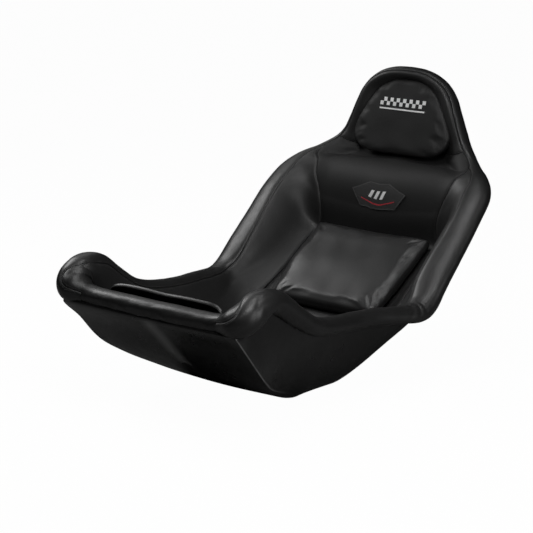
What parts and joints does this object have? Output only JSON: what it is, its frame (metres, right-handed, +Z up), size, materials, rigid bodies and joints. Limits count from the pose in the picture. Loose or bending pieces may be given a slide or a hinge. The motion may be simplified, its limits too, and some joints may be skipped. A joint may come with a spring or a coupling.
{
  "type": "bucket racing seat",
  "caption": "Reclined single-seater racing seat: a moulded bucket with padded rims, a raised head section and lift-off leatherette pads.",
  "frame": {"origin": "middle of the flat base on its underside, which is the middle of the four base bolts", "axes": "+X towards the sitter's left, -Y the way the seat faces, +Z up"},
  "size_m": [0.5758, 0.8756, 0.588],
  "materials": {
    "satin_laminate": "satin moulded laminate",
    "plate_aluminium": "mill finish",
    "insert_steel": "zinc plated",
    "padding_foam": "open cell foam",
    "tape_fabric": "woven hook and loop tape",
    "patch_fabric": "twill with embroidery",
    "cushion_leather": "grained satin leatherette",
    "cover_leather": "grained satin leatherette"
  },
  "bodies": {
    "bucket": {"bucket_shell": "satin_laminate", "mounting_plate": "plate_aluminium", "threaded_inserts": "insert_steel", "seat_foam": "padding_foam", "seat_lining": "cover_leather", "side_foam_left": "padding_foam", "side_foam_right": "padding_foam", "side_lining_left": "cover_leather", "side_lining_right": "cover_leather", "upper_back_foam": "padding_foam", "upper_back_panel": "cover_leather", "head_foam": "padding_foam", "head_lining": "cover_leather", "rim_foam_left": "padding_foam", "rim_foam_right": "padding_foam", "rim_cover_left": "cover_leather", "rim_cover_right": "cover_leather", "corner_foam_left": "padding_foam", "corner_foam_right": "padding_foam", "corner_cover_left": "cover_leather", "corner_cover_right": "cover_leather", "head_rim_foam": "padding_foam", "head_rim_cover": "cover_leather", "front_roll_foam": "padding_foam", "front_roll_cover": "cover_leather", "seat_loop_tapes": "tape_fabric", "back_loop_tapes": "tape_fabric", "head_loop_tapes": "tape_fabric", "back_patch": "patch_fabric"},
    "seat_pad": {"seat_cushion": "cushion_leather", "seat_hook_tapes": "tape_fabric"},
    "back_pad": {"back_cushion": "cushion_leather", "back_hook_tapes": "tape_fabric"},
    "head_rest_pad": {"head_pad": "cushion_leather", "head_hook_tapes": "tape_fabric"}
  },
  "joints": [
    {"name": "seat_pad_lift", "type": "slide", "parent": "bucket", "child": "seat_pad", "axis": [0, 0, 1], "range_m": [0, 0.08]},
    {"name": "back_pad_lift", "type": "slide", "parent": "bucket", "child": "back_pad", "axis": [0, -0.5408, 0.8412], "range_m": [0, 0.08]},
    {"name": "head_pad_lift", "type": "slide", "parent": "bucket", "child": "head_rest_pad", "axis": [0, -1, 0], "range_m": [0, 0.08]}
  ]
}
